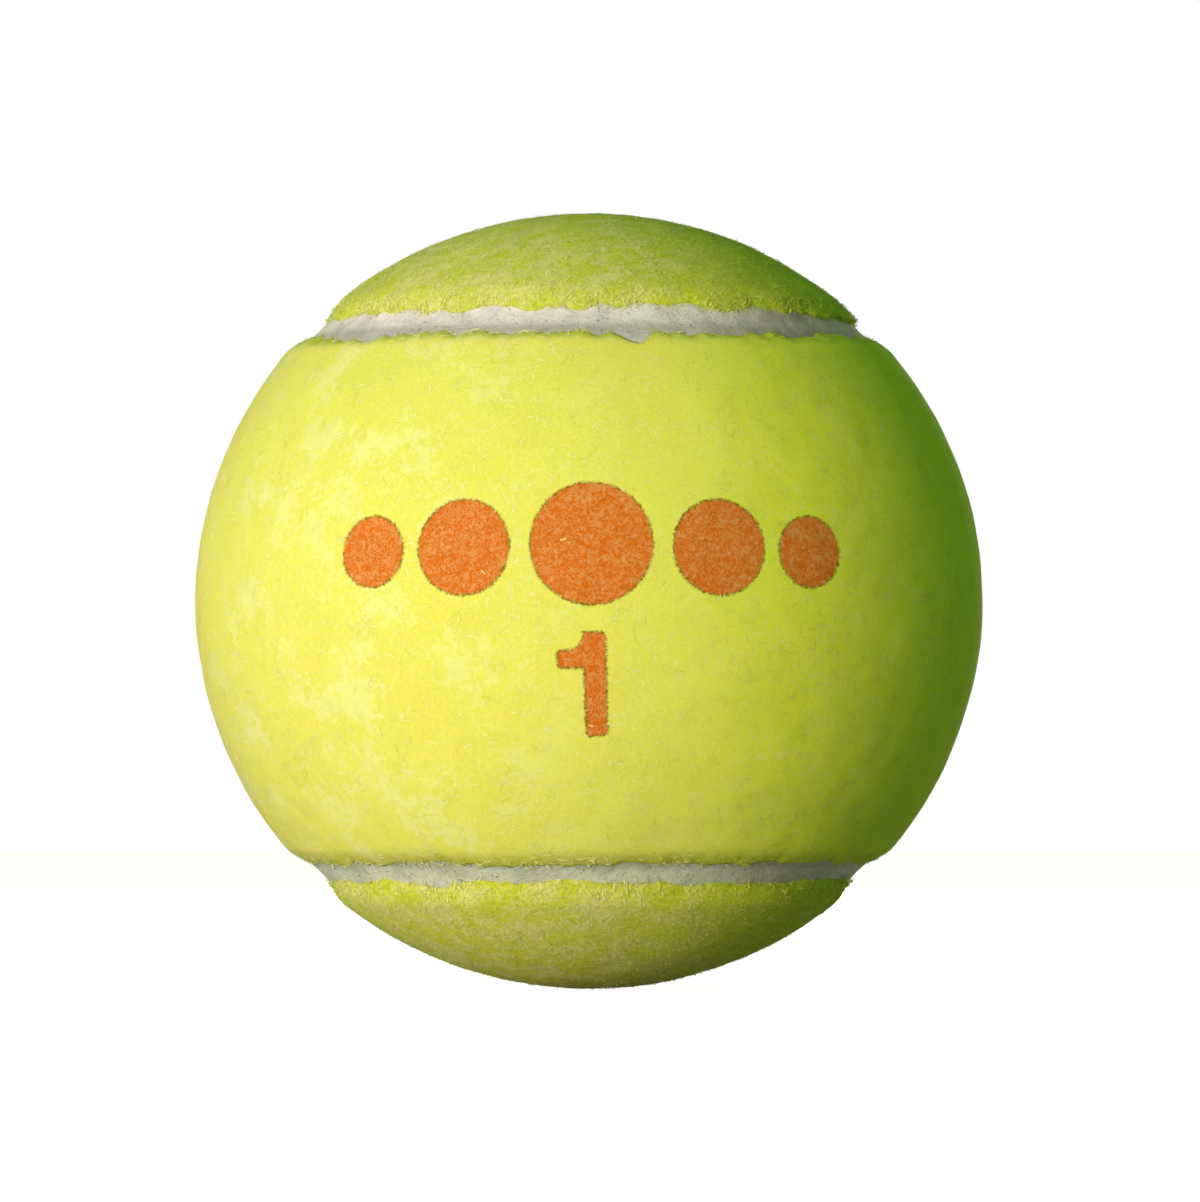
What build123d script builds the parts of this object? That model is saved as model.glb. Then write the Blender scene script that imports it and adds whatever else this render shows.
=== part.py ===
# A felt-covered tennis ball: two rubber half shells cemented into a hollow core, two identical
# strips of felt wrapped round it, and the pale rubber seam line that closes the gap between them.
#
# Frame: origin at the centre of the ball, +Z up, the waist of the front felt panel faces -Y.
# The seam runs along four half circles. In the front half they lie level, above and below the
# waist of the front panel. In the back half they stand upright, left and right of the other waist.

from build123d import *
import math
import os

# Driving dimensions in millimetres
ball_diameter = 66.0  # over the raised nap
felt_thickness = 3.0  # woven backing and nap together
panel_cement_thickness = 0.2  # rubber coat between the felt and the core
core_wall = 3.2  # moulded rubber of each half shell
joint_cement_thickness = 0.3  # between the edges of the two half shells
joint_bead_radius = 0.7  # cement squeezed out along the joint, inside the hollow
seam_gap = 2.2  # between the cut edges of the two panels
lip_radius = 1.4  # rounded outer edge of each panel
seam_floor_depth = 0.95  # lowest point of the seam line, below the nap
seam_edge_depth = 0.4  # depth that the dish of the seam line would have at the tops of the lips

# Where the seam crosses the XZ plane, in degrees from +X towards +Z. At 45 the panels are identical.
seam_angle = 45.0

# Radii of the layers, from the outside in
nap_radius = ball_diameter / 2
felt_inner_radius = nap_radius - felt_thickness
core_radius = felt_inner_radius - panel_cement_thickness
hollow_radius = core_radius - core_wall

# Lines that a section in the XZ plane is turned about, through the front half or the back half
through_front = Axis((0, 0, 0), (0, 0, -1))
through_back = Axis((0, 0, 0), (-1, 0, 0))


def spherical_shell(inner_radius, outer_radius):
    """A hollow ball whose poles lie on the Y axis, clear of the seam."""
    return Rot(90, 0, 0) * (Sphere(outer_radius) - Sphere(inner_radius))


def seam_rings(section):
    """Four half rings along the seam, from a section whose +X points out of the ball."""
    placed = Plane.XZ * (Rot(0, 0, seam_angle) * section)
    upper_front = revolve(placed, through_front, revolution_arc=180)
    right_back = revolve(placed, through_back, revolution_arc=180)
    return [upper_front, mirror(upper_front, Plane.XY), right_back, mirror(right_back, Plane.YZ)]


def groove_section():
    """The gap between the panels: parallel walls that open into two rounded lips."""
    half_gap = seam_gap / 2
    lip_offset = half_gap + lip_radius
    lip_height = math.sqrt((nap_radius - lip_radius) ** 2 - lip_offset**2)
    lip_centre = Vector(lip_height, lip_offset)
    lip_top = lip_centre + lip_centre.normalized() * lip_radius
    floor = Line((hollow_radius, 0), (hollow_radius, half_gap))
    wall = Line(floor @ 1, (lip_height, half_gap))
    lip = TangentArc(wall @ 1, lip_top, tangent=(1, 0))
    mouth = Polyline(lip @ 1, lip_top + Vector(lip_radius, 0), (lip_top.X + lip_radius, 0), floor @ 0)
    half = make_face([floor, wall, lip, mouth])
    return half + mirror(half, Plane.XZ)


def dish_section():
    """The round hollow above the seam line, from the top of one lip to the top of the other."""
    half_width = seam_gap / 2 + lip_radius
    dip = seam_floor_depth - seam_edge_depth
    dish_radius = (half_width**2 + dip**2) / (2 * dip)
    return Pos(nap_radius - seam_floor_depth + dish_radius, 0) * Circle(dish_radius)


def panel_pair(inner_radius, outer_radius):
    """The front and the back strip of one layer, parted by the groove of the seam."""
    strips = spherical_shell(inner_radius, outer_radius) - seam_rings(groove_section())
    return strips.solids().sort_by(Axis.Y)


def seam_line(panels):
    """The pale rubber that fills the groove between the panels, with a dished top."""
    filled = spherical_shell(core_radius, nap_radius - seam_edge_depth) - panels
    return filled - seam_rings(dish_section())


def core_half_section():
    """Half of the upper shell's section, from its flat edge up to the pole."""
    quarter = make_face(
        [
            CenterArc((0, 0), core_radius, 0, 90),
            Line((0, core_radius), (0, hollow_radius)),
            CenterArc((0, 0), hollow_radius, 0, 90),
            Line((hollow_radius, 0), (core_radius, 0)),
        ]
    )
    return quarter - Rectangle(2 * core_radius, joint_cement_thickness)


def core_half():
    """The upper rubber half shell, with a flat ring-shaped edge."""
    return revolve(Plane.XZ * core_half_section(), Axis.Z)


def core_joint():
    """The ring of cement between the half shells, with its bead inside the hollow."""
    upper = core_half_section()
    lower = mirror(upper, Plane.XZ)
    ring = Circle(core_radius) - Circle(hollow_radius)
    right_side = Pos(core_radius, 0) * Rectangle(2 * core_radius, joint_cement_thickness)
    bead = Pos(hollow_radius, 0) * Circle(joint_bead_radius)
    return revolve(Plane.XZ * ((ring & right_side) + bead - upper - lower), Axis.Z)


def ball_pieces():
    """Every piece of the ball in its place, by name."""
    front_felt, back_felt = panel_pair(felt_inner_radius, nap_radius)
    front_cement, back_cement = panel_pair(core_radius, felt_inner_radius)
    upper_half = core_half()
    return {
        "front_felt_panel": front_felt,
        "back_felt_panel": back_felt,
        "front_panel_cement": front_cement,
        "back_panel_cement": back_cement,
        "seam_cement": seam_line([front_felt, back_felt, front_cement, back_cement]),
        "upper_core_half": upper_half,
        "lower_core_half": mirror(upper_half, Plane.XY),
        "core_joint_cement": core_joint(),
    }


os.makedirs("parts", exist_ok=True)
for name, piece in ball_pieces().items():
    export_step(piece, f"parts/{name}.step")
    print(name, "volume", round(piece.volume, 1), "mm3, solids", len(piece.solids()))
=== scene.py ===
import math

import bpy
import numpy as np
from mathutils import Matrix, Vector, noise


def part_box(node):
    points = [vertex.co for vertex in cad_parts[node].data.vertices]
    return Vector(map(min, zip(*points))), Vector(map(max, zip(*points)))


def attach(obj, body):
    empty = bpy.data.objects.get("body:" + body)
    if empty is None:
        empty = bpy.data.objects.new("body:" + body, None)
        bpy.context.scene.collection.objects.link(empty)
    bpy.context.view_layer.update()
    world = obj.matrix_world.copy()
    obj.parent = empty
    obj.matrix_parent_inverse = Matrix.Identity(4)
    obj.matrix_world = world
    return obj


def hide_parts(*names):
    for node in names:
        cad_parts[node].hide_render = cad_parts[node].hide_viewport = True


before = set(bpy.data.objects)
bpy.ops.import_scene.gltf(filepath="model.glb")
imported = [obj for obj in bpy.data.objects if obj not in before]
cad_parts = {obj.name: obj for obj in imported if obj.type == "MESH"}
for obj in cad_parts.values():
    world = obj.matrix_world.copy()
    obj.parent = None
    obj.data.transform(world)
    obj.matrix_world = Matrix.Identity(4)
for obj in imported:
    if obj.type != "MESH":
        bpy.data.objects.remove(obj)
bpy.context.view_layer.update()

# radii of the layers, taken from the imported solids
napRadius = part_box("front_felt_panel")[1].x
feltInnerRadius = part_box("front_panel_cement")[1].x
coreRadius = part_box("upper_core_half")[1].z
seamAngle = math.radians(45)  # the seam's four half circles lie this far round from the poles
millimetre = 0.001


# small helpers

def deselectAll():
    if bpy.context.mode != "OBJECT":
        bpy.ops.object.mode_set(mode="OBJECT")
    bpy.ops.object.select_all(action="DESELECT")


def makeActive(piece):
    deselectAll()
    piece.select_set(True)
    bpy.context.view_layer.objects.active = piece


def editMesh(piece):
    makeActive(piece)
    bpy.ops.object.mode_set(mode="EDIT")
    bpy.ops.mesh.select_mode(type="FACE")


def copyPiece(piece, name):
    makeActive(piece)
    bpy.ops.object.duplicate()
    bpy.context.object.name = name
    return bpy.context.object


def vertexPlaces(piece):
    places = np.empty(len(piece.data.vertices) * 3)
    piece.data.vertices.foreach_get("co", places)
    return places.reshape(-1, 3)


def setVertexPlaces(piece, places):
    piece.data.vertices.foreach_set("co", places.ravel())
    piece.data.update()


def faceCentres(piece):
    centres = np.empty(len(piece.data.polygons) * 3)
    piece.data.polygons.foreach_get("center", centres)
    return centres.reshape(-1, 3)


def selectFaces(piece, chooser):  # leaves edit mode on, with the faces selected whose centres are chosen
    editMesh(piece)
    bpy.ops.mesh.select_all(action="DESELECT")
    bpy.ops.object.mode_set(mode="OBJECT")
    piece.data.polygons.foreach_set("select", chooser(faceCentres(piece)))
    bpy.ops.object.mode_set(mode="EDIT")


def noiseAt(places, size, offset):  # one value from -1 to 1 per place, lumps of about this size
    shift = Vector((offset, 2 * offset, 3 * offset))
    return np.array([noise.noise(Vector(p) / size + shift) for p in places])


def addNode(tree, kind, inputs=None, **settings):
    node = tree.nodes.new(kind)
    for key, value in settings.items():
        setattr(node, key, value)
    for key, value in (inputs or {}).items():
        if isinstance(value, bpy.types.NodeSocket):
            tree.links.new(value, node.inputs[key])
        else:
            node.inputs[key].default_value = value
    return node


def maths(tree, operation, *values, clamp=False):
    inputs = dict(enumerate(values))
    return addNode(tree, "ShaderNodeMath", inputs, operation=operation, use_clamp=clamp).outputs[0]


def vectorMaths(tree, operation, *values):
    node = addNode(tree, "ShaderNodeVectorMath", dict(enumerate(values)), operation=operation)
    return node.outputs["Value" if operation in ("LENGTH", "DISTANCE", "DOT_PRODUCT") else "Vector"]


def mixColours(tree, share, first, second, blend="MIX"):
    node = addNode(tree, "ShaderNodeMix", data_type="RGBA", blend_type=blend)
    for socket, value in zip((node.inputs[0], node.inputs[6], node.inputs[7]), (share, first, second)):
        if isinstance(value, bpy.types.NodeSocket):
            tree.links.new(value, socket)
        else:
            socket.default_value = value if isinstance(value, float) else (*value, 1)
    return node.outputs[2]


def spread(tree, value, low, high, toLow=0.0, toHigh=1.0):  # smooth step from one range to another
    inputs = {"Value": value, "From Min": low, "From Max": high, "To Min": toLow, "To Max": toHigh}
    return addNode(tree, "ShaderNodeMapRange", inputs, interpolation_type="SMOOTHSTEP").outputs["Result"]


def cloud(tree, vector, scale, detail=2.0, roughness=0.5, distortion=0.0):
    inputs = {
        "Vector": vector,
        "Scale": scale,
        "Detail": detail,
        "Roughness": roughness,
        "Distortion": distortion,
    }
    return addNode(tree, "ShaderNodeTexNoise", inputs).outputs["Fac"]


def newGroup(name, kind, inputs, outputs):
    tree = bpy.data.node_groups.new(name, kind)
    for direction, sockets in (("INPUT", inputs), ("OUTPUT", outputs)):
        for socketName, socketType in sockets.items():
            tree.interface.new_socket(socketName, in_out=direction, socket_type=socketType)
    return tree, tree.nodes.new("NodeGroupInput").outputs, tree.nodes.new("NodeGroupOutput").inputs


def useGroup(tree, group, inputs):
    return addNode(tree, "ShaderNodeGroup", inputs, node_tree=group).outputs


def newMaterial(name):
    material = bpy.data.materials.new(name)
    material.use_nodes = True
    tree = material.node_tree
    tree.nodes.clear()
    shader = tree.nodes.new("ShaderNodeBsdfPrincipled")
    output = tree.nodes.new("ShaderNodeOutputMaterial")
    tree.links.new(shader.outputs[0], output.inputs["Surface"])
    objectPlace = tree.nodes.new("ShaderNodeTexCoord").outputs["Object"]
    return material, tree, shader.inputs, objectPlace


def addBump(tree, shaderInputs, height, strength, distance):
    bump = addNode(tree, "ShaderNodeBump", {"Height": height, "Strength": strength, "Distance": distance})
    tree.links.new(bump.outputs["Normal"], shaderInputs["Normal"])


# the printed marks: a row of plain dots over the figure 1, measured along the nap in millimetres

printMarks = {
    "dots": [(-18.6, 3.4, 2.9), (-10.4, 3.7, 3.9), (0.2, 4.0, 5.0), (10.8, 3.7, 3.9), (19.0, 3.4, 2.9)],
    "stem": ((0.56, -7.5), (0.9, 4.3), 0.45),  # middle, half size, rounding
    "flag": ((-1.1, -5.4), (1.4, 0.7), 0.25),
    "corner": ((-0.82, -4.2), (1.02, 1.0), 0.0),
    "hollow": ((-1.84, -3.2), 1.5),  # rounds out the corner over the flag
    "slant": 0.03,
    "fibres": (4200.0, 3.0, 0.6),  # noise that frays the edge: scale, detail, roughness
    "fraying": 0.5,
}


def barDistance(tree, spot, middle, half, rounding):
    beyond = vectorMaths(tree, "ABSOLUTE", vectorMaths(tree, "SUBTRACT", spot, (*middle, 0)))
    beyond = vectorMaths(tree, "SUBTRACT", beyond, (half[0] - rounding, half[1] - rounding, 0))
    outside = vectorMaths(tree, "LENGTH", vectorMaths(tree, "MAXIMUM", beyond, (0, 0, 0)))
    sides = addNode(tree, "ShaderNodeSeparateXYZ", {0: beyond}).outputs
    inside = maths(tree, "MINIMUM", maths(tree, "MAXIMUM", sides["X"], sides["Y"]), 0.0)
    return maths(tree, "SUBTRACT", maths(tree, "ADD", outside, inside), rounding)


def printDistance(tree, place):  # distance to the nearest mark in millimetres, negative inside it
    axes = addNode(tree, "ShaderNodeSeparateXYZ", {0: place}).outputs
    radiusInMillimetres = napRadius / millimetre
    turn = maths(tree, "ARCTAN2", axes["X"], maths(tree, "MULTIPLY", axes["Y"], -1.0))
    rise = maths(tree, "ARCSINE", maths(tree, "DIVIDE", axes["Z"], vectorMaths(tree, "LENGTH", place)))
    across = maths(tree, "MULTIPLY", turn, radiusInMillimetres)
    upward = maths(tree, "MULTIPLY", rise, radiusInMillimetres)
    spot = addNode(tree, "ShaderNodeCombineXYZ", {"X": across, "Y": upward}).outputs[0]
    distances = []
    for x, y, radius in printMarks["dots"]:
        distances.append(maths(tree, "SUBTRACT", vectorMaths(tree, "DISTANCE", spot, (x, y, 0)), radius))
    lean = maths(tree, "ADD", upward, -printMarks["stem"][0][1])
    leaning = maths(tree, "MULTIPLY_ADD", lean, printMarks["slant"], across)
    spot = addNode(tree, "ShaderNodeCombineXYZ", {"X": leaning, "Y": upward}).outputs[0]
    distances.append(barDistance(tree, spot, *printMarks["stem"]))
    distances.append(barDistance(tree, spot, *printMarks["flag"]))
    middle, radius = printMarks["hollow"]
    hollow = maths(tree, "SUBTRACT", radius, vectorMaths(tree, "DISTANCE", spot, (*middle, 0)))
    distances.append(maths(tree, "MAXIMUM", hollow, barDistance(tree, spot, *printMarks["corner"])))
    closest = distances[0]
    for other in distances[1:]:
        closest = maths(tree, "MINIMUM", closest, other)
    return closest


def printGroup():  # the printed marks with an edge made ragged by the nap
    tree, inputs, outputs = newGroup(
        "printedMarks", "ShaderNodeTree", {"Place": "NodeSocketVector"}, {"Distance": "NodeSocketFloat"}
    )
    ragged = cloud(tree, inputs["Place"], *printMarks["fibres"])
    ragged = maths(tree, "MULTIPLY_ADD", ragged, printMarks["fraying"], -printMarks["fraying"] / 2)
    tree.links.new(maths(tree, "ADD", printDistance(tree, inputs["Place"]), ragged), outputs["Distance"])
    return tree


def strandGroup():  # thin curling lines, like single fibres lying on the nap
    tree, inputs, outputs = newGroup(
        "curledStrands",
        "ShaderNodeTree",
        {"Place": "NodeSocketVector", "Scale": "NodeSocketFloat", "Width": "NodeSocketFloat"},
        {"Strands": "NodeSocketFloat"},
    )
    level = cloud(tree, inputs["Place"], inputs["Scale"], 1.5, 0.5, 0.8)
    away = maths(tree, "ABSOLUTE", maths(tree, "SUBTRACT", level, 0.5))
    line = maths(tree, "SUBTRACT", 1.0, maths(tree, "DIVIDE", away, inputs["Width"]), clamp=True)
    breaks = cloud(tree, inputs["Place"], maths(tree, "MULTIPLY", inputs["Scale"], 1.7), 1.0)
    tree.links.new(maths(tree, "MULTIPLY", line, spread(tree, breaks, 0.42, 0.58)), outputs["Strands"])
    return tree


printedMarks = printGroup()
curledStrands = strandGroup()


# felt

felt = {
    # shape
    "segments": 112,  # squares along each side of the cube that is rounded into the ball
    "mergeDistance": 0.015 * millimetre,
    "gap": 0.94 * millimetre,  # from the seam's middle to a panel's cut edge
    "lipWidth": 2.5 * millimetre,
    "lipDepth": 0.85 * millimetre,
    "lipCurve": 1.6,
    "rows": [0.0, 0.05, 0.15, 0.3, 0.55, 0.9, 1.4, 2.1],  # rows of faces that shape the lip, in millimetres
    "fuller": 0.6,  # share of the lip's depth that is filled at the right end of the back panel's upper edge
    "fullerFrom": 14 * millimetre,
    "fullerOver": 7 * millimetre,
    "napDrop": 0.2 * millimetre,  # the felt's skin lies this far under the tips of the nap
    "flattening": 0.5 * millimetre,  # nap pressed down at the top and the bottom of the ball
    "lumps": ((0.07, 7.0, 1.0), (0.04, 2.2, 2.0)),  # height and size in millimetres, place in the noise
    "standBack": {1: (0.72, -0.1), -1: (0.2, 0.05)},  # front and back panel above and below, in millimetres
    "standBackOver": 20 * millimetre,
    "torn": {1: (0.7, 0.7, 0.7), -1: (0.6, 0.5, 0.5)},  # depth of the waves along the edges, in millimetres
    "tornWaves": (6.5, 2.6, 1.1),  # their lengths in millimetres
    "tornBelow": 0.6,  # the lower edges are torn less than the upper ones
    "tornReach": 4 * millimetre,
    "tear": (9.2, 2.3, 1.3),  # degrees round the seam, depth and half width in millimetres
    # colours
    "frontTones": ((0.69, 0.76, 0.055), (0.775, 0.815, 0.085)),  # between the fibres and on them
    "backTones": ((0.42, 0.56, 0.02), (0.60, 0.71, 0.045)),
    # pale chalk of worn felt and strands, also used for painted light
    "chalkAndPaintedLight": (0.80, 0.87, 0.31),
    # painted shade: darker green for shadows between fibres, the shaded right side and the lips
    "between": (0.45, 0.56, 0.025),
    "shadeGreen": (0.76, 0.94, 0.06),
    "fluff": (0.86, 0.88, 0.36),
    "ink": (0.645, 0.165, 0.0075),
    "inkPale": (0.74, 0.42, 0.135),
    "inkRimShadow": (0.17, 0.15, 0.02),
    # shares of these colours
    "wear": {"frontFelt": 0.85, "backFelt": 0.3},  # how chalky the left side of each panel is: wear, and painted light on the lit side
    "shadeGreenShare": {"frontFelt": 0.5, "backFelt": 0.0},  # painted shade: the felt turns greener towards the shaded right side
    "paintedLight": {"frontFelt": 0.24, "backFelt": 0.0},  # painted light: even paleness on the lit left side
    "paintedLipShade": {"frontFelt": 0.55, "backFelt": 0.0},  # painted shade where the edge bends down
    "hazeAndPaintedShade": {"frontFelt": 0.0, "backFelt": 0.6},  # pale fluff that lies over the dyed ground in clumps, thinned as painted shade on the right
    "strands": {"frontFelt": 0.28, "backFelt": 0.6},
    # noises: scale, detail, roughness, distortion
    "patches": (190.0, 3.0, 0.6),
    "feathers": (1200.0, 6.0, 0.7, 1.2),
    "flecks": (2300.0, 4.0, 0.65, 1.5),
    "grain": (3200.0, 3.0, 0.6),
    "shadeMottle": (260.0, 5.0, 0.65, 0.8),
    "clumps": (420.0, 7.0, 0.72, 0.6),
    "strokes": (1500.0, 5.0, 0.7, 1.6),
    "clusters": (330.0, 2.0),
    # curled strands: scale and width
    "strandSizes": ((700.0, 0.02), (1100.0, 0.025), (1700.0, 0.03)),
    # painted shadow lines between the fibres
    "shadowLineSize": (560.0, 0.012),
    # surface
    "specular": 0.03,
    "glow": 0.8,  # light that spreads inside the felt
    "glowColour": (1.0, 1.1, 0.3),
    "glowReach": 0.8 * millimetre,
    "bump": (0.35, 0.12 * millimetre),
}


def feltMaterial(name, tones):
    material, tree, shader, place = newMaterial(name)
    patches = cloud(tree, place, *felt["patches"])
    feathers = cloud(tree, place, *felt["feathers"])
    flecks = cloud(tree, place, *felt["flecks"])
    grain = cloud(tree, place, *felt["grain"])
    strands = []
    for scale, width in (*felt["strandSizes"], felt["shadowLineSize"]):
        strands.append(useGroup(tree, curledStrands, {"Place": place, "Scale": scale, "Width": width})[0])
    strand = maths(tree, "MAXIMUM", strands[0], maths(tree, "MAXIMUM", strands[1], strands[2]))
    colour = mixColours(tree, spread(tree, grain, 0.3, 0.62), *tones)
    # painted shadow: thin darker lines between the fibres
    colour = mixColours(tree, maths(tree, "MULTIPLY", strands[3], 0.15), colour, felt["between"])
    # pale fluff and chalky wear, most of it on the left, with painted light on the lit left side and painted
    # shade on the shaded right side and at the lips
    axes = addNode(tree, "ShaderNodeSeparateXYZ", {0: place}).outputs
    # painted shade: darker green mottle, only on the shaded right side
    shadeMottle = spread(tree, cloud(tree, place, *felt["shadeMottle"]), 0.4, 0.62, 0.0, 0.4)
    shadeMottle = maths(tree, "MULTIPLY", shadeMottle, spread(tree, axes["X"], 0.004, 0.018))
    colour = mixColours(tree, shadeMottle, colour, felt["between"])
    # painted shade: greener felt towards the shaded right side
    shadeGreen = spread(tree, axes["X"], 0.003, 0.01, 0.0, felt["shadeGreenShare"][name])
    colour = mixColours(tree, shadeGreen, colour, felt["shadeGreen"])
    # painted light: paler on the lit left side
    paintedLight = spread(tree, axes["X"], 0.018, 0.006, 0.0, felt["paintedLight"][name])
    colour = mixColours(tree, paintedLight, colour, felt["chalkAndPaintedLight"])
    # painted shade: darker green along the lips where the edge bends down, weaker on the lower edges
    fromEdge = addNode(tree, "ShaderNodeAttribute", attribute_name="fromEdge").outputs["Fac"]
    fromEdge = maths(tree, "ADD", fromEdge, maths(tree, "MULTIPLY_ADD", feathers, 2.0, -1.0))
    paintedLipShade = spread(tree, fromEdge, 2.1, 0.9, 0.0, felt["paintedLipShade"][name])
    paintedLipShade = maths(tree, "MULTIPLY", paintedLipShade, spread(tree, axes["Z"], -0.01, 0.01, 0.4, 1.0))
    colour = mixColours(tree, paintedLipShade, colour, felt["between"])
    hazeAndPaintedShade = spread(tree, cloud(tree, place, *felt["clumps"]), 0.44, 0.62)
    # painted shade: the fluff fades towards the shaded right side
    hazeAndPaintedShade = maths(tree, "MULTIPLY", hazeAndPaintedShade, spread(tree, axes["X"], 0.0, 0.016, 1.0, 0.1))
    colour = mixColours(tree, maths(tree, "MULTIPLY", hazeAndPaintedShade, felt["hazeAndPaintedShade"][name]), colour, felt["fluff"])
    chalkAndPaintedLight = maths(tree, "MULTIPLY_ADD", patches, 0.8, maths(tree, "MULTIPLY", feathers, 0.7))
    chalkAndPaintedLight = spread(tree, chalkAndPaintedLight, 0.75, 0.87)
    # wear and painted light: the chalk is kept mostly to the lit left side
    chalkAndPaintedLight = maths(tree, "MULTIPLY", chalkAndPaintedLight, spread(tree, axes["X"], 0.006, -0.014, 0.06, 1.0))
    strokes = spread(tree, cloud(tree, place, *felt["strokes"]), 0.53, 0.6)
    clusters = spread(tree, cloud(tree, place, *felt["clusters"]), 0.46, 0.58)
    strokes = maths(tree, "MULTIPLY", strokes, clusters)
    chalkAndPaintedLight = maths(tree, "MAXIMUM", chalkAndPaintedLight, maths(tree, "MULTIPLY", strokes, 0.65))
    colour = mixColours(tree, maths(tree, "MULTIPLY", chalkAndPaintedLight, felt["wear"][name]), colour, felt["chalkAndPaintedLight"])
    colour = mixColours(tree, maths(tree, "MULTIPLY", strand, felt["strands"][name]), colour, felt["chalkAndPaintedLight"])
    # ink that lies among the fibres, with a darker broken rim of painted shadow where the nap stands up at
    # its edge
    distance = useGroup(tree, printedMarks, {"Place": place})["Distance"]
    inked = spread(tree, distance, 0.08, -0.08)
    # painted shadow: a dark ring along the edge of the ink
    rimShadow = maths(tree, "MULTIPLY", spread(tree, distance, -0.16, -0.02), spread(tree, distance, 0.22, 0.02))
    rimShadow = maths(tree, "MULTIPLY", rimShadow, spread(tree, flecks, 0.4, 0.6, 0.9, 0.2))
    rubbed = maths(tree, "MULTIPLY", spread(tree, flecks, 0.44, 0.64), 0.65)
    ink = mixColours(tree, rubbed, felt["ink"], felt["inkPale"])
    ink = mixColours(tree, maths(tree, "MULTIPLY", strand, 0.9), ink, felt["inkPale"])
    colour = mixColours(tree, inked, colour, ink)
    colour = mixColours(tree, rimShadow, colour, felt["inkRimShadow"])
    tree.links.new(colour, shader["Base Color"])
    tree.links.new(spread(tree, grain, 0.2, 0.8, 0.95, 0.8), shader["Roughness"])
    shader["Specular IOR Level"].default_value = felt["specular"]
    shader["Subsurface Weight"].default_value = felt["glow"]
    shader["Subsurface Radius"].default_value = felt["glowColour"]
    shader["Subsurface Scale"].default_value = felt["glowReach"]
    height = maths(tree, "MULTIPLY_ADD", strand, 0.5, maths(tree, "MULTIPLY_ADD", grain, 0.6, flecks))
    height = maths(tree, "SUBTRACT", height, maths(tree, "MULTIPLY", inked, 0.5))
    addBump(tree, shader, height, *felt["bump"])
    return material


def seamOffset(places):  # metres from the seam, positive on the front panel, its nearest point, which half
    ways = places / np.linalg.norm(places, axis=1)[:, None]
    front = ways[:, 1] <= 0
    away = np.where(front, np.arcsin(np.abs(ways[:, 2])), np.arccos(np.clip(np.abs(ways[:, 0]), 0, 1)))
    level = np.hypot(ways[:, 0], ways[:, 1])[:, None]
    upright = np.hypot(ways[:, 1], ways[:, 2])[:, None]
    onFront = np.column_stack([ways[:, :2] / np.maximum(level, 1e-9), np.sign(ways[:, 2])])
    onBack = np.column_stack([np.sign(ways[:, 0]), ways[:, 1:] / np.maximum(upright, 1e-9)])
    nearest = np.where(front[:, None], onFront, onBack) * math.sqrt(0.5) * napRadius
    return (seamAngle - away) * napRadius, nearest, front


def raggedEdge(nearest, side):  # how far a torn edge of felt stands back from its straight cut, in metres
    waves = []
    for number, size in enumerate(felt["tornWaves"]):
        waves.append(noiseAt(nearest, size * millimetre, 3.0 + 4.0 * number + 31.0 * side))
    back = np.array(felt["torn"][side]) @ np.array(waves)
    above = nearest[:, 2] > 0
    back *= np.where(above, 1.0, felt["tornBelow"])
    inFront = np.clip(-nearest[:, 1] / felt["standBackOver"], 0, 1)
    back += inFront * np.where(above, *felt["standBack"][side])
    if side > 0:  # one small tear in the upper edge of the front panel
        turn, depth, halfWidth = felt["tear"]
        seamRadius = napRadius * math.cos(seamAngle) / millimetre
        away = np.abs(np.arctan2(nearest[:, 0], -nearest[:, 1]) - math.radians(turn)) * seamRadius
        back += np.where(above, depth * np.clip(1 - away / halfWidth, 0, 1), 0)
    return back * millimetre


def cutFeltSheets():  # two thin sheets that meet along the seam, from a cube rounded into a ball
    deselectAll()
    bpy.ops.mesh.primitive_cube_add(size=napRadius * 2 / math.sqrt(3), location=(0, 0, 0))
    ball = bpy.context.object
    editMesh(ball)
    bpy.ops.mesh.select_all(action="SELECT")
    bpy.ops.mesh.subdivide(number_cuts=felt["segments"] - 1)
    bpy.ops.transform.tosphere(value=1.0)
    bpy.ops.object.mode_set(mode="OBJECT")
    places = vertexPlaces(ball)
    setVertexPlaces(ball, places / np.linalg.norm(places, axis=1)[:, None] * napRadius)
    # rows of edges along the seam: level cuts through the front half, upright cuts through the back half
    for hidden, axis in ((1, 2), (-1, 0)):
        selectFaces(ball, lambda centres: centres[:, 1] * hidden > 0)
        bpy.ops.mesh.hide(unselected=False)
        for row in felt["rows"]:
            for side in (-1, 1):
                angle = seamAngle + side * (felt["gap"] + row * millimetre) / napRadius
                height = napRadius * (math.sin(angle) if axis == 2 else math.cos(angle))
                for sign in (-1, 1):
                    plane = [0.0, 0.0, 0.0]
                    plane[axis] = sign * height
                    normal = [0.0, 0.0, 0.0]
                    normal[axis] = 1.0
                    bpy.ops.mesh.select_all(action="SELECT")
                    bpy.ops.mesh.bisect(plane_co=plane, plane_no=normal)
        bpy.ops.mesh.reveal(select=False)
    bpy.ops.mesh.select_all(action="SELECT")
    bpy.ops.mesh.remove_doubles(threshold=felt["mergeDistance"])
    bpy.ops.object.mode_set(mode="OBJECT")
    sheets = []
    for side, name in ((1, "front_felt"), (-1, "back_felt")):
        sheet = copyPiece(ball, name)
        selectFaces(sheet, lambda centres: seamOffset(centres)[0] * side < felt["gap"])
        bpy.ops.mesh.delete(type="FACE")
        bpy.ops.object.mode_set(mode="OBJECT")
        sheets.append(sheet)
    bpy.data.objects.remove(ball)
    return sheets


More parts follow.
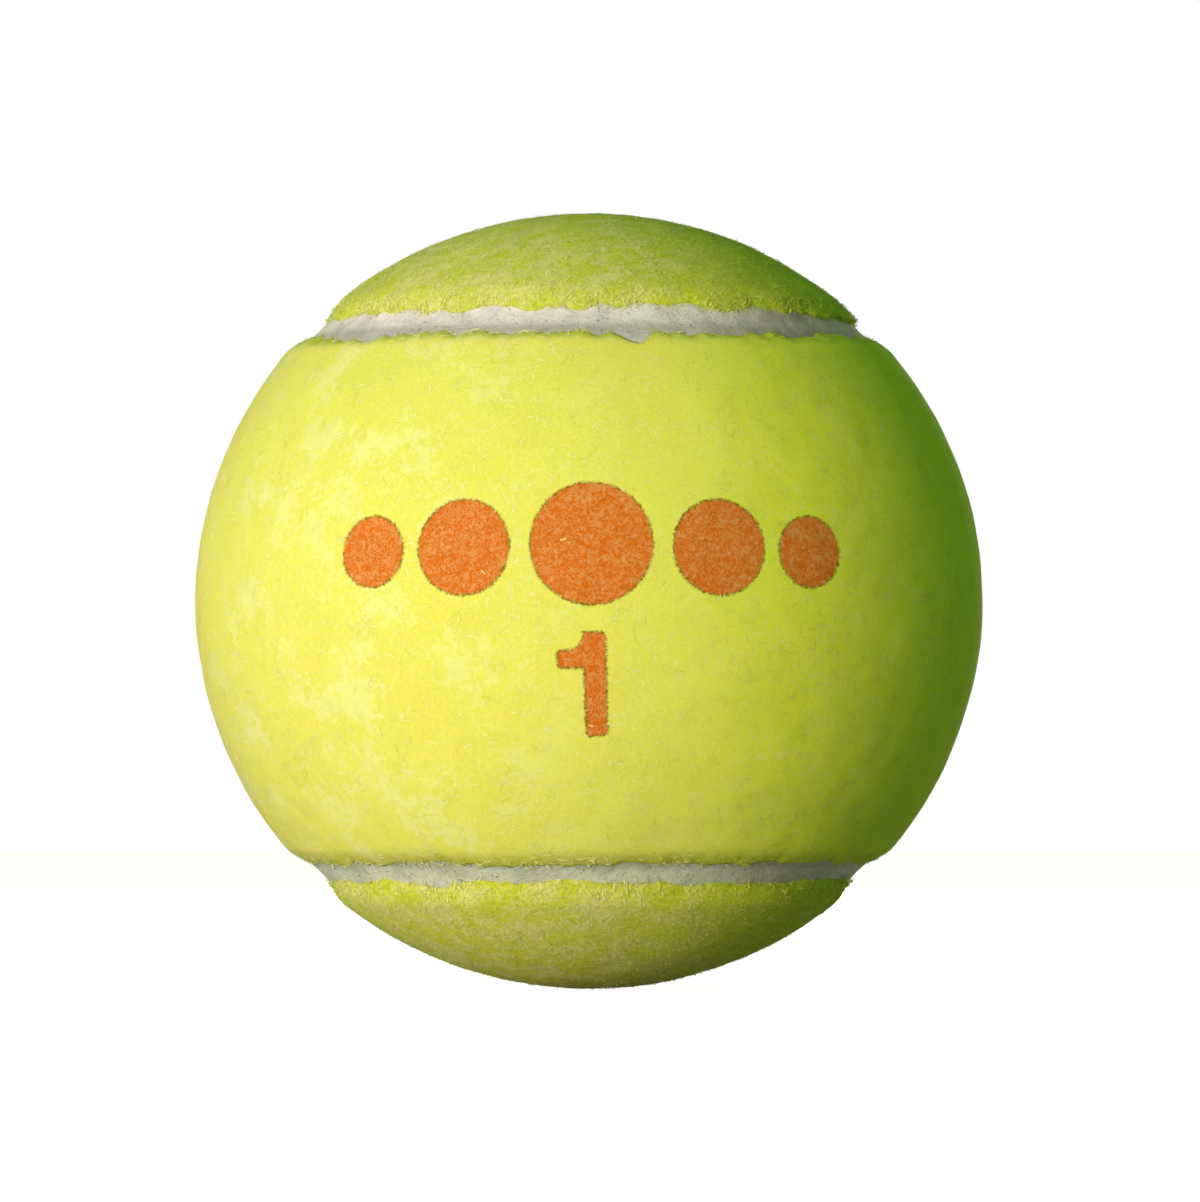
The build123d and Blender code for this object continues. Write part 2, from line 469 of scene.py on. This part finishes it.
def shapeFeltSheet(sheet, side):  # torn edges, rounded lips and the uneven thickness of the nap
    places = vertexPlaces(sheet)
    offset, nearest, front = seamOffset(places)
    inside = np.maximum(offset * side - felt["gap"], 0)
    fade = np.clip(1 - inside / felt["tornReach"], 0, 1) ** 2
    moved = inside.copy()
    moved[fade > 0] += fade[fade > 0] * raggedEdge(nearest[fade > 0], side)
    # slide each vertex across the seam's direction, to its new distance from the seam
    angle = seamAngle - (moved + felt["gap"]) * side / napRadius
    ways = places / np.linalg.norm(places, axis=1)[:, None]
    level = ways[:, :2] / np.maximum(np.hypot(ways[:, 0], ways[:, 1])[:, None], 1e-9)
    upright = ways[:, 1:] / np.maximum(np.hypot(ways[:, 1], ways[:, 2])[:, None], 1e-9)
    onFront = np.column_stack([level * np.cos(angle)[:, None], np.sin(angle) * np.sign(ways[:, 2])])
    onBack = np.column_stack([np.cos(angle) * np.sign(ways[:, 0]), upright * np.sin(angle)[:, None]])
    turned = np.where(front[:, None], onFront, onBack)
    ways = np.where((fade > 0)[:, None], turned, ways)
    short = np.clip(1 - inside / felt["lipWidth"], 0, 1)
    lip = felt["lipDepth"] * short ** felt["lipCurve"]
    if side < 0:  # the back panel's upper edge is fuller at its right end
        rightEnd = np.clip((ways[:, 0] * napRadius - felt["fullerFrom"]) / felt["fullerOver"], 0, 1)
        lip *= 1 - felt["fuller"] * rightEnd * (ways[:, 2] > 0) * (ways[:, 1] < 0.1)
    lumps = sum(depth * noiseAt(places, size * millimetre, spot) for depth, size, spot in felt["lumps"])
    height = napRadius - felt["napDrop"] - felt["flattening"] * ways[:, 2] ** 2 - lip + lumps * millimetre
    setVertexPlaces(sheet, ways * height[:, None])
    fromEdge = sheet.data.attributes.new("fromEdge", "FLOAT", "POINT")
    fromEdge.data.foreach_set("value", inside / millimetre)


def closePanel(panel):  # gives the sheet its thickness, down to the coat of cement
    editMesh(panel)
    bpy.ops.mesh.select_all(action="SELECT")
    bpy.ops.mesh.extrude_region()
    bpy.ops.object.mode_set(mode="OBJECT")
    inner = np.empty(len(panel.data.vertices), bool)
    panel.data.vertices.foreach_get("select", inner)
    places = vertexPlaces(panel)
    places[inner] *= (feltInnerRadius / np.linalg.norm(places[inner], axis=1))[:, None]
    setVertexPlaces(panel, places)
    editMesh(panel)
    bpy.ops.mesh.select_all(action="SELECT")
    bpy.ops.mesh.normals_make_consistent(inside=False)
    bpy.ops.object.mode_set(mode="OBJECT")
    bpy.ops.object.shade_smooth()


feltFinishes = [feltMaterial("frontFelt", felt["frontTones"]), feltMaterial("backFelt", felt["backTones"])]
sheets = cutFeltSheets()
for sheet, side, finish in zip(sheets, (1, -1), feltFinishes):
    shapeFeltSheet(sheet, side)
    panel = copyPiece(sheet, sheet.name + "_cloth")
    closePanel(panel)
    panel.data.materials.append(finish)
    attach(panel, "root")
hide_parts("front_felt_panel")
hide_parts("back_felt_panel")

# nap: loose curled fibres that lie on the felt

nap = {
    # number on a square metre, length, lift and waves in millimetres, tones from 0 for dyed to 1 for pale,
    # thickness beside the usual one, and how thickly the fibres grow between the clumps and in them
    "front": {
        "low": {
            "number": 0.9e6, "length": (0.5, 1.3), "lift": (-0.03, 0.01), "tones": (0.0, 0.6), "wave": 0.8,
        },
        "middle": {
            "number": 0.8e6, "length": (1.0, 2.2), "lift": (-0.02, 0.03), "tones": (0.0, 0.7), "wave": 1.2,
        },
        "flecks": {
            "number": 0.75e6, "length": (0.4, 1.2), "lift": (0.0, 0.04), "tones": (0.9, 1.0), "wave": 1.0,
            "thick": 2.2, "clumps": (0.0, 2.4),
        },
        "top": {
            "number": 0.35e6, "length": (0.7, 1.9), "lift": (0.0, 0.09), "tones": (0.4, 1.0), "wave": 1.4,
        },
    },
    "back": {
        "low": {
            "number": 1.4e6, "length": (0.5, 1.1), "lift": (0.0, 0.06), "tones": (0.0, 0.7), "wave": 1.0,
        },
        "short": {
            "number": 1.4e6, "length": (0.5, 1.1), "lift": (0.0, 0.16), "tones": (0.1, 0.8), "wave": 1.2,
        },
        "middle": {
            "number": 1.0e6, "length": (0.7, 1.5), "lift": (0.0, 0.1), "tones": (0.2, 1.0), "wave": 1.4,
        },
        "crisp": {
            "number": 1.7e6, "length": (0.4, 1.0), "lift": (0.02, 0.16), "tones": (0.85, 1.0), "wave": 1.2,
            "thick": 1.6, "clumps": (0.0, 2.4),
        },
        "tangled": {
            "number": 1.1e6, "length": (0.7, 1.4), "lift": (0.02, 0.2), "tones": (0.7, 1.0), "wave": 1.8,
            "thick": 1.2, "clumps": (0.1, 2.2),
        },
        "loose": {
            "number": 0.8e6, "length": (0.8, 1.8), "lift": (0.02, 0.16), "tones": (0.7, 1.0), "wave": 2.0,
            "thick": 1.2, "clumps": (0.2, 2.0),
        },
        "top": {
            "number": 0.08e6, "length": (2.0, 4.5), "lift": (0.05, 0.2), "tones": (0.6, 1.0), "wave": 2.2,
        },
    },
    "points": {  # along one fibre
        "low": 5, "flecks": 5, "crisp": 5, "short": 5, "middle": 7, "tangled": 7, "loose": 9, "top": 11,
    },
    "thickness": 0.05 * millimetre,
    "taper": (0.4, 0.12),  # how fast a fibre thins to its ends, and its least share of the thickness
    "clumpNoise": (420.0, 5.0, 0.72, 0.6),  # scale, detail, roughness, distortion
    "clumps": (0.45, 1.5),  # where a layer has no clumps of its own
    "underInk": 0.65,  # share of the fibres that stand free of the ink
    "fringe": 1.6,  # times as many fibres at a torn edge
    "edgeLength": 0.75,  # how long they are there, beside the usual length
    "frayed": 0.14 * millimetre,  # how much further they stand up there
    "fullTurn": 6.283,
    "bend": 1.5,
    "waveScale": 650.0,
    "loftScale": 900.0,
    "tuck": 0.01 * millimetre,  # depth of a fibre's ends in the felt
    "seamDepth": 0.86 * millimetre,  # fibres that cross the seam lie no deeper than this
    "rightShade": 0.4,  # painted shade: fibres less pale towards the shaded right side
    "cleanTone": 0.985,  # the palest fibres lie over the ink
    "dyed": (0.62, 0.72, 0.045),
    "light": (0.76, 0.81, 0.15),
    "pale": (0.89, 0.94, 0.42),
    "specular": 0.03,
}

# shares of the fibres' map: where the felt tones start, how wide they are, how far on the ink tones lie,
# and the width, foot and length of one fibre
fibreMap = {"left": 0.015, "tones": 0.43, "ink": 0.5, "around": 0.02, "bottom": 0.02, "height": 0.96}


def napMaterial():  # the left half of the fibres' map holds felt tones, the right half ink tones
    material, tree, shader = newMaterial("napFibre")[:3]
    spot = addNode(tree, "ShaderNodeUVMap", uv_map="OFBake").outputs["UV"]
    axes = addNode(tree, "ShaderNodeSeparateXYZ", {0: spot}).outputs
    ramp = addNode(tree, "ShaderNodeValToRGB", {"Fac": axes["X"]})
    stops = [
        (0.0, nap["dyed"]), (0.25, nap["light"]), (0.46, nap["pale"]),
        (0.52, felt["ink"]), (0.8, felt["ink"]), (0.96, felt["inkPale"]),
    ]
    while len(ramp.color_ramp.elements) < len(stops):
        ramp.color_ramp.elements.new(0.5)
    for element, (position, colour) in zip(ramp.color_ramp.elements, stops):
        element.position = position
        element.color = (*colour, 1)
    streaks = cloud(tree, vectorMaths(tree, "MULTIPLY", spot, (40.0, 6.0, 0.0)), 1.0)
    shade = spread(tree, streaks, 0.3, 0.7, 0.86, 1.0)
    tint = addNode(tree, "ShaderNodeCombineXYZ", {"X": shade, "Y": shade, "Z": shade}).outputs[0]
    tree.links.new(vectorMaths(tree, "MULTIPLY", ramp.outputs["Color"], tint), shader["Base Color"])
    tree.links.new(spread(tree, streaks, 0.3, 0.7, 0.75, 0.6), shader["Roughness"])
    shader["Specular IOR Level"].default_value = nap["specular"]
    return material


def randomValue(tree, low, high, seed):
    return addNode(tree, "FunctionNodeRandomValue", {2: low, 3: high, "Seed": seed}).outputs[1]


def storeValue(tree, geometry, name, value, **settings):
    inputs = {"Geometry": geometry, "Name": name, "Value": value}
    return addNode(tree, "GeometryNodeStoreNamedAttribute", inputs, **settings).outputs[0]


def storedValue(tree, name):
    return addNode(tree, "GeometryNodeInputNamedAttribute", {"Name": name}).outputs[0]


def scaled(tree, vector, factor):
    return addNode(tree, "ShaderNodeVectorMath", {0: vector, "Scale": factor}, operation="SCALE").outputs[0]


def fibreNoise(tree, place, scale, detail):  # differs from fibre to fibre
    inputs = {"Vector": place, "W": storedValue(tree, "number"), "Scale": scale, "Detail": detail}
    return addNode(tree, "ShaderNodeTexNoise", inputs, noise_dimensions="4D").outputs


def napTree(name, layer, points, thickness, seed, material):
    sockets = {"Geometry": "NodeSocketGeometry"}
    tree, inputs, outputs = newGroup(name, "GeometryNodeTree", sockets, sockets)
    sheet = inputs["Geometry"]
    place = addNode(tree, "GeometryNodeInputPosition").outputs[0]
    fromEdge = storedValue(tree, "fromEdge")
    marks = printDistance(tree, place)

    # where the fibres grow: in clumps, and thinner where they are stuck down by ink
    clumps = cloud(tree, place, *nap["clumpNoise"])
    clumps = spread(tree, clumps, 0.43, 0.61, *layer.get("clumps", nap["clumps"]))
    clumps = maths(tree, "MULTIPLY", clumps, spread(tree, marks, -0.3, 0.3, nap["underInk"], 1.0))
    fringe = spread(tree, fromEdge, 1.9, 0.9, 1.0, nap["fringe"])
    density = maths(tree, "MULTIPLY", maths(tree, "MULTIPLY", clumps, fringe), layer["number"])
    grown = addNode(
        tree, "GeometryNodeDistributePointsOnFaces", {"Mesh": sheet, "Density": density, "Seed": seed}
    ).outputs
    angle = randomValue(tree, 0.0, nap["fullTurn"], seed + 1)
    spin = addNode(tree, "FunctionNodeAxisAngleToRotation", {"Axis": (0, 0, 1), "Angle": angle}).outputs[0]
    turned = addNode(
        tree, "FunctionNodeRotateRotation", {0: grown["Rotation"], 1: spin}, rotation_space="LOCAL"
    ).outputs[0]
    shortest, longest = (value * millimetre for value in layer["length"])
    length = randomValue(tree, shortest, longest, seed + 2)
    length = maths(tree, "MULTIPLY", length, spread(tree, fromEdge, 0.0, 2.2, nap["edgeLength"], 1.0))
    ends = {"Start": (-0.5, 0, 0), "End": (0.5, 0, 0)}
    straight = addNode(tree, "GeometryNodeCurvePrimitiveLine", ends).outputs[0]
    straight = addNode(tree, "GeometryNodeResampleCurve", {"Curve": straight, "Count": points}).outputs[0]
    fibres = addNode(
        tree,
        "GeometryNodeInstanceOnPoints",
        {"Points": grown["Points"], "Instance": straight, "Rotation": turned, "Scale": length},
    ).outputs[0]
    lowest, highest = (value * millimetre for value in layer["lift"])
    frayed = spread(tree, fromEdge, 2.2, 0.8, 0.0, nap["frayed"])
    perFibre = {
        "reach": length,
        "tone": randomValue(tree, *layer["tones"], seed + 3),
        "curl": randomValue(tree, -1.0, 1.0, seed + 4),
        "lift": maths(tree, "ADD", randomValue(tree, lowest, highest, seed + 5), frayed),
        "number": randomValue(tree, 0.0, 60.0, seed + 6),
    }
    for attribute, value in perFibre.items():
        fibres = storeValue(tree, fibres, attribute, value, domain="INSTANCE")
    fibres = addNode(tree, "GeometryNodeRealizeInstances", {"Geometry": fibres}).outputs[0]
    along = addNode(tree, "GeometryNodeSplineParameter").outputs["Factor"]
    fibres = storeValue(tree, fibres, "along", along)

    # curl: an even bend across the fibre, and loose waves
    tangent = addNode(tree, "GeometryNodeInputTangent").outputs[0]
    outward = vectorMaths(tree, "NORMALIZE", place)
    sideways = vectorMaths(tree, "CROSS_PRODUCT", outward, tangent)
    middle = maths(tree, "SUBTRACT", along, 0.5)
    bend = maths(tree, "MULTIPLY", maths(tree, "MULTIPLY", middle, middle), storedValue(tree, "curl"))
    bend = maths(tree, "MULTIPLY", bend, maths(tree, "MULTIPLY", storedValue(tree, "reach"), nap["bend"]))
    waves = fibreNoise(tree, place, nap["waveScale"], 1.0)["Color"]
    waves = scaled(tree, vectorMaths(tree, "SUBTRACT", waves, (0.5, 0.5, 0.5)), layer["wave"] * millimetre)
    offset = vectorMaths(tree, "ADD", scaled(tree, sideways, bend), waves)
    fibres = addNode(tree, "GeometryNodeSetPosition", {"Geometry": fibres, "Offset": offset}).outputs[0]

    # lay each fibre on the felt, its middle raised and its ends tucked in
    nearest = addNode(
        tree,
        "GeometryNodeSampleNearestSurface",
        {"Mesh": sheet, "Value": place, "Sample Position": place},
        data_type="FLOAT_VECTOR",
    ).outputs[0]
    rise = addNode(tree, "ShaderNodeSeparateXYZ", {0: outward}).outputs["Z"]
    pressed = maths(tree, "MULTIPLY", maths(tree, "MULTIPLY", rise, rise), felt["flattening"])
    seamLevel = maths(tree, "SUBTRACT", napRadius - nap["seamDepth"], pressed)
    level = maths(tree, "MAXIMUM", vectorMaths(tree, "LENGTH", nearest), seamLevel)
    arch = maths(tree, "SINE", maths(tree, "MULTIPLY", along, math.pi))
    loft = fibreNoise(tree, place, nap["loftScale"], 0.0)["Fac"]
    loft = maths(tree, "MULTIPLY", arch, spread(tree, loft, 0.3, 0.7, 0.2, 1.0))
    raised = maths(tree, "MULTIPLY_ADD", loft, storedValue(tree, "lift"), -nap["tuck"])
    laid = scaled(tree, outward, maths(tree, "ADD", level, raised))
    fibres = addNode(tree, "GeometryNodeSetPosition", {"Geometry": fibres, "Position": laid}).outputs[0]

    # give each fibre a flat section that tapers to both ends, its broad side outward
    facing = {"Curve": fibres, "Normal": outward}
    fibres = addNode(tree, "GeometryNodeSetCurveNormal", facing, mode="FREE").outputs[0]
    ends = {"Start": (0, -thickness / 2, 0), "End": (0, thickness / 2, 0)}
    section = addNode(tree, "GeometryNodeCurvePrimitiveLine", ends).outputs[0]
    around = maths(tree, "DIVIDE", addNode(tree, "GeometryNodeInputIndex").outputs[0], 2.0)
    section = storeValue(tree, section, "around", around)
    thinning, thinnest = nap["taper"]
    taper = maths(tree, "MAXIMUM", maths(tree, "POWER", arch, thinning), thinnest)
    fibres = addNode(
        tree, "GeometryNodeCurveToMesh", {"Curve": fibres, "Profile Curve": section, "Scale": taper}
    ).outputs[0]
    fibres = addNode(tree, "GeometryNodeSetShadeSmooth", {"Geometry": fibres}).outputs[0]

    # tone and ink run across the fibres' map, the length of each fibre up it
    onFace = addNode(tree, "GeometryNodeFieldOnDomain", {0: marks}, domain="FACE").outputs[0]
    rightward = addNode(tree, "ShaderNodeSeparateXYZ", {0: place}).outputs["X"]
    # painted shade: fibres darker and more dyed towards the shaded right side
    rightShadeFactor = spread(tree, rightward, 0.0, 0.018, 1.0, nap["rightShade"])
    tone = maths(tree, "MULTIPLY", storedValue(tree, "tone"), rightShadeFactor)
    inked = maths(tree, "LESS_THAN", onFace, 0.0)
    inked = maths(tree, "MULTIPLY", inked, maths(tree, "LESS_THAN", tone, nap["cleanTone"]))
    across = maths(tree, "MULTIPLY_ADD", inked, fibreMap["ink"], fibreMap["left"])
    across = maths(tree, "MULTIPLY_ADD", tone, fibreMap["tones"], across)
    across = maths(tree, "MULTIPLY_ADD", storedValue(tree, "around"), fibreMap["around"], across)
    upward = maths(tree, "MULTIPLY_ADD", storedValue(tree, "along"), fibreMap["height"], fibreMap["bottom"])
    spot = addNode(tree, "ShaderNodeCombineXYZ", {"X": across, "Y": upward}).outputs[0]
    fibres = storeValue(tree, fibres, "OFBake", spot, data_type="FLOAT2", domain="CORNER")
    fibres = addNode(tree, "GeometryNodeSetMaterial", {"Geometry": fibres, "Material": material}).outputs[0]
    tree.links.new(fibres, outputs["Geometry"])
    return tree


def growNap(sheet, name, layer, points, thickness, seed, material):
    fibres = copyPiece(sheet, name)
    modifier = fibres.modifiers.new("nap", "NODES")
    modifier.node_group = napTree(name, layer, points, thickness, seed, material)
    bpy.ops.object.modifier_apply(modifier="nap")
    for attribute in ("reach", "tone", "curl", "lift", "number", "along", "around", "fromEdge", "id"):
        if attribute in fibres.data.attributes:
            fibres.data.attributes.remove(fibres.data.attributes[attribute])
    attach(fibres, "root")
    return fibres


napFibre = napMaterial()
naps = []
for sheet, side in zip(sheets, ("front", "back")):
    layers = []
    for number, (name, layer) in enumerate(nap[side].items()):
        seed = 100 * len(naps) + 10 * number + 1
        points = nap["points"][name]
        thickness = nap["thickness"] * layer.get("thick", 1.0)
        layers.append(growNap(sheet, side + "_nap_" + name, layer, points, thickness, seed, napFibre))
    naps.append(layers)
    print(side, "nap:", [len(fibres.data.polygons) * 2 for fibres in layers], "triangles")

for sheet in sheets:
    bpy.data.objects.remove(sheet)


# seam line

seam = {
    "steps": 260,  # along each half circle
    "columns": 25,  # across the top
    "halfWidth": 3.4 * millimetre,
    "dishHalfWidth": 2.6 * millimetre,
    "floorDepth": 1.0 * millimetre,
    "edgeDepth": 0.86 * millimetre,
    "tuckSlope": 0.22,  # beyond the dish the rubber runs down under the felt
    "waves": ((0.07, 3.5, 5.0), (0.06, 0.9, 6.0)),  # height and size in millimetres, place in the noise
    "wavyDepth": 2 * millimetre,  # only the top is wavy
    "mergeDistance": 0.02 * millimetre,
    "sharpAngle": math.radians(50),
    "pale": (0.855, 0.865, 0.84),
    "grey": (0.60, 0.605, 0.585),
    "pit": (0.26, 0.26, 0.23),
    # painted shadow beside the front panel's lip
    "paintedLipShadow": (0.36, 0.36, 0.33),
    "lowerDim": (0.74, 0.82, 0.67),  # dims the lower half
    "paintedRightShade": (0.74, 0.64, 0.66),  # painted shade: dims the right end, on the shaded side
    # noises: scale, detail, roughness, distortion
    "smear": (320.0, 4.0, 0.6, 0.4),
    "grain": (2600.0, 4.0, 0.7),
    "specks": (3600.0, 2.0, 0.6, 1.0),
    "specular": 0.3,
    "bump": (0.9, 0.16 * millimetre),
}


def seamMaterial():
    material, tree, shader, place = newMaterial("seamRubber")
    smear = cloud(tree, place, *seam["smear"])
    grain = cloud(tree, place, *seam["grain"])
    specks = cloud(tree, place, *seam["specks"])
    pit = spread(tree, specks, 0.36, 0.27)
    colour = mixColours(tree, spread(tree, smear, 0.3, 0.62), seam["grey"], seam["pale"])
    greyed = maths(tree, "MULTIPLY", spread(tree, grain, 0.48, 0.7), 0.6)
    colour = mixColours(tree, greyed, colour, seam["grey"])
    # painted shadow along the side of the front panel, under its lip
    axes = addNode(tree, "ShaderNodeSeparateXYZ", {0: vectorMaths(tree, "NORMALIZE", place)}).outputs
    onFront = maths(tree, "SUBTRACT", math.sin(seamAngle), maths(tree, "ABSOLUTE", axes["Z"]))
    onBack = maths(tree, "SUBTRACT", maths(tree, "ABSOLUTE", axes["X"]), math.cos(seamAngle))
    inFront = maths(tree, "LESS_THAN", axes["Y"], 0.0)
    toPanel = addNode(tree, "ShaderNodeMix", {0: inFront, 2: onBack, 3: onFront}).outputs[0]
    toPanel = maths(tree, "MULTIPLY_ADD", maths(tree, "SUBTRACT", smear, 0.5), 0.02, toPanel)
    paintedLipShadow = spread(tree, toPanel, 0.0, 0.03, 0.0, 0.6)
    colour = mixColours(tree, paintedLipShadow, colour, seam["paintedLipShadow"])
    colour = mixColours(tree, maths(tree, "MULTIPLY", pit, 0.5), colour, seam["pit"])
    # darker towards the bottom
    lowerHalf = spread(tree, axes["Z"], 0.3, -0.3)
    colour = mixColours(tree, lowerHalf, colour, seam["lowerDim"], "MULTIPLY")
    # painted shade: darker towards the shaded right end
    rightEnd = spread(tree, axes["X"], 0.2, 0.55)
    colour = mixColours(tree, rightEnd, colour, seam["paintedRightShade"], "MULTIPLY")
    tree.links.new(colour, shader["Base Color"])
    tree.links.new(spread(tree, grain, 0.3, 0.7, 0.6, 0.85), shader["Roughness"])
    shader["Specular IOR Level"].default_value = seam["specular"]
    height = maths(tree, "SUBTRACT", maths(tree, "MULTIPLY_ADD", grain, 0.5, smear), pit)
    addBump(tree, shader, height, *seam["bump"])
    return material


def buildSeamLine():  # one section spun along the four half circles in turn
    across = np.linspace(-seam["halfWidth"], seam["halfWidth"], seam["columns"])
    dished = np.minimum(np.abs(across) / seam["dishHalfWidth"], 1)
    dished = dished * dished * (3 - 2 * dished)
    tucked = np.maximum(np.abs(across) - seam["dishHalfWidth"], 0) * seam["tuckSlope"]
    depth = seam["floorDepth"] - (seam["floorDepth"] - seam["edgeDepth"]) * dished + tucked
    section = list(zip(napRadius - depth, across))
    section += [(coreRadius, seam["halfWidth"]), (coreRadius, -seam["halfWidth"])]
    deselectAll()
    bpy.ops.mesh.primitive_circle_add(vertices=len(section), radius=seam["halfWidth"], fill_type="NOTHING")
    line = bpy.context.object
    line.name = "seam_line"
    slant = math.cos(seamAngle)
    corners = [((out - side) * slant, 0.0, (out + side) * slant) for out, side in section]
    setVertexPlaces(line, np.array(corners))
    editMesh(line)
    bpy.ops.mesh.select_all(action="SELECT")
    for axis in ((0, 0, 1), (1, 0, 0), (0, 0, -1), (-1, 0, 0)):  # spin turns left about its axis
        bpy.ops.mesh.spin(steps=seam["steps"], angle=math.pi, center=(0, 0, 0), axis=axis)
    bpy.ops.mesh.select_all(action="SELECT")
    bpy.ops.mesh.remove_doubles(threshold=seam["mergeDistance"])
    bpy.ops.mesh.normals_make_consistent(inside=False)
    bpy.ops.object.mode_set(mode="OBJECT")
    places = vertexPlaces(line)
    distance = np.linalg.norm(places, axis=1)
    waves = sum(depth * noiseAt(places, size * millimetre, spot) for depth, size, spot in seam["waves"])
    lift = waves * millimetre - felt["flattening"] * (places[:, 2] / distance) ** 2
    lift = np.where(distance > napRadius - seam["wavyDepth"], lift, 0)
    setVertexPlaces(line, places * (1 + lift / distance)[:, None])
    bpy.ops.object.shade_smooth_by_angle(angle=seam["sharpAngle"])
    return line


seamLine = buildSeamLine()
seamLine.data.materials.append(seamMaterial())
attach(seamLine, "root")
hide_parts("seam_cement")
print("seam line:", len(seamLine.data.polygons), "faces")


# inner layers

def rubberMaterial(name, colour, darker, scale, roughness):
    material, tree, shader, place = newMaterial(name)
    grain = cloud(tree, place, scale, 4.0, 0.6)
    tree.links.new(mixColours(tree, spread(tree, grain, 0.35, 0.65), darker, colour), shader["Base Color"])
    tree.links.new(spread(tree, grain, 0.3, 0.7, roughness, roughness - 0.15), shader["Roughness"])
    addBump(tree, shader, grain, 0.4, 0.1 * millimetre)
    return material


innerFinishes = {  # name, colour, darker grain, scale of the grain, roughness
    "upper_core_half": ("coreRubber", (0.09, 0.09, 0.095), (0.05, 0.05, 0.055), 500.0, 0.8),
    "front_panel_cement": ("panelCement", (0.72, 0.66, 0.5), (0.56, 0.5, 0.37), 700.0, 0.7),
    "core_joint_cement": ("jointCement", (0.5, 0.42, 0.28), (0.36, 0.3, 0.2), 600.0, 0.7),
}
sameFinish = {"lower_core_half": "upper_core_half", "back_panel_cement": "front_panel_cement"}
finishes = {node: rubberMaterial(*values) for node, values in innerFinishes.items()}
for node in list(innerFinishes) + list(sameFinish):
    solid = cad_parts[node]
    solid.data.materials.clear()
    solid.data.materials.append(finishes[sameFinish.get(node, node)])
print("inner layers finished")


# floor, light and camera

stage = {
    "floorHeight": -napRadius + felt["flattening"],
    "floorSize": 4.0,
    "floorShade": (0.45, 0.45, 0.45),  # light that the floor throws back at the ball
    "floorGlow": (1, 0.95, 1, 1),
    "glowStrength": 0.9,
    "worldShade": (0.1, 0.225, 0.045),  # light from all round on the ball
    "lamps": {  # place, size, power, colour
        "key_lamp": ((-0.44, -0.73, 0.06), (0.36, 0.18), 8.45, (1.0, 0.795, 0.78)),
        "back_lamp": ((0.1, 0.85, 0.05), (0.3, 0.2), 4.5, (1.0, 0.88, 0.82)),
    },
    "cameraDistance": 0.76,
    "cameraRise": math.radians(-1.24),
    "clipStart": 0.01,
    "ballRadiusInPhoto": 396.0,  # pixels
    "ballLeftOfCentre": 11.0,
    "photoHeight": 1202.0,
    "sensor": 36.0,
}


def aimAtBall(piece):
    piece.rotation_euler = (Vector((0, 0, 0)) - piece.location).to_track_quat("-Z", "Y").to_euler()


def addLamp(name, place, size, power, colour):
    bpy.ops.object.light_add(type="AREA", location=place)
    lamp = bpy.context.object
    lamp.name = name
    lamp.data.shape = "RECTANGLE"
    lamp.data.size, lamp.data.size_y = size
    lamp.data.energy = power
    lamp.data.color = colour
    aimAtBall(lamp)


def whiteBackdrop(tree, shade):  # white to the camera and in reflections, this shade as light on the ball
    path = tree.nodes.new("ShaderNodeLightPath").outputs
    seen = maths(tree, "MAXIMUM", path["Is Camera Ray"], path["Is Glossy Ray"])
    seen = maths(tree, "MAXIMUM", seen, path["Is Transmission Ray"])
    return seen, mixColours(tree, seen, shade, (1.0, 1.0, 1.0))


def buildStage():
    bpy.ops.mesh.primitive_plane_add(size=stage["floorSize"], location=(0, 0, stage["floorHeight"]))
    floor = bpy.context.object
    floor.name = "studio_floor"
    material, tree, shader = newMaterial("studioFloor")[:3]
    seen, colour = whiteBackdrop(tree, stage["floorShade"])
    tree.links.new(colour, shader["Base Color"])
    tree.links.new(maths(tree, "MULTIPLY", seen, stage["glowStrength"]), shader["Emission Strength"])
    shader["Emission Color"].default_value = stage["floorGlow"]
    shader["Roughness"].default_value = 0.9
    shader["Specular IOR Level"].default_value = 0.0
    floor.data.materials.append(material)
    world = bpy.data.worlds.new("studioWorld")
    world.use_nodes = True
    bpy.context.scene.world = world
    colour = whiteBackdrop(world.node_tree, stage["worldShade"])[1]
    world.node_tree.links.new(colour, world.node_tree.nodes["Background"].inputs["Color"])
    for name, values in stage["lamps"].items():
        addLamp(name, *values)


def addCamera():
    rise = stage["cameraRise"]
    distance = stage["cameraDistance"]
    bpy.ops.object.camera_add(location=(0, -distance * math.cos(rise), distance * math.sin(rise)))
    camera = bpy.context.object
    aimAtBall(camera)
    slope = napRadius / math.sqrt(distance**2 - napRadius**2)
    camera.data.sensor_width = stage["sensor"]
    camera.data.lens = stage["sensor"] * stage["ballRadiusInPhoto"] / slope / stage["photoHeight"]
    camera.data.shift_x = stage["ballLeftOfCentre"] / stage["photoHeight"]
    camera.data.clip_start = stage["clipStart"]
    bpy.context.scene.camera = camera


deselectAll()
buildStage()
addCamera()
bpy.context.scene.view_settings.view_transform = "Standard"
print("stage and camera ready")
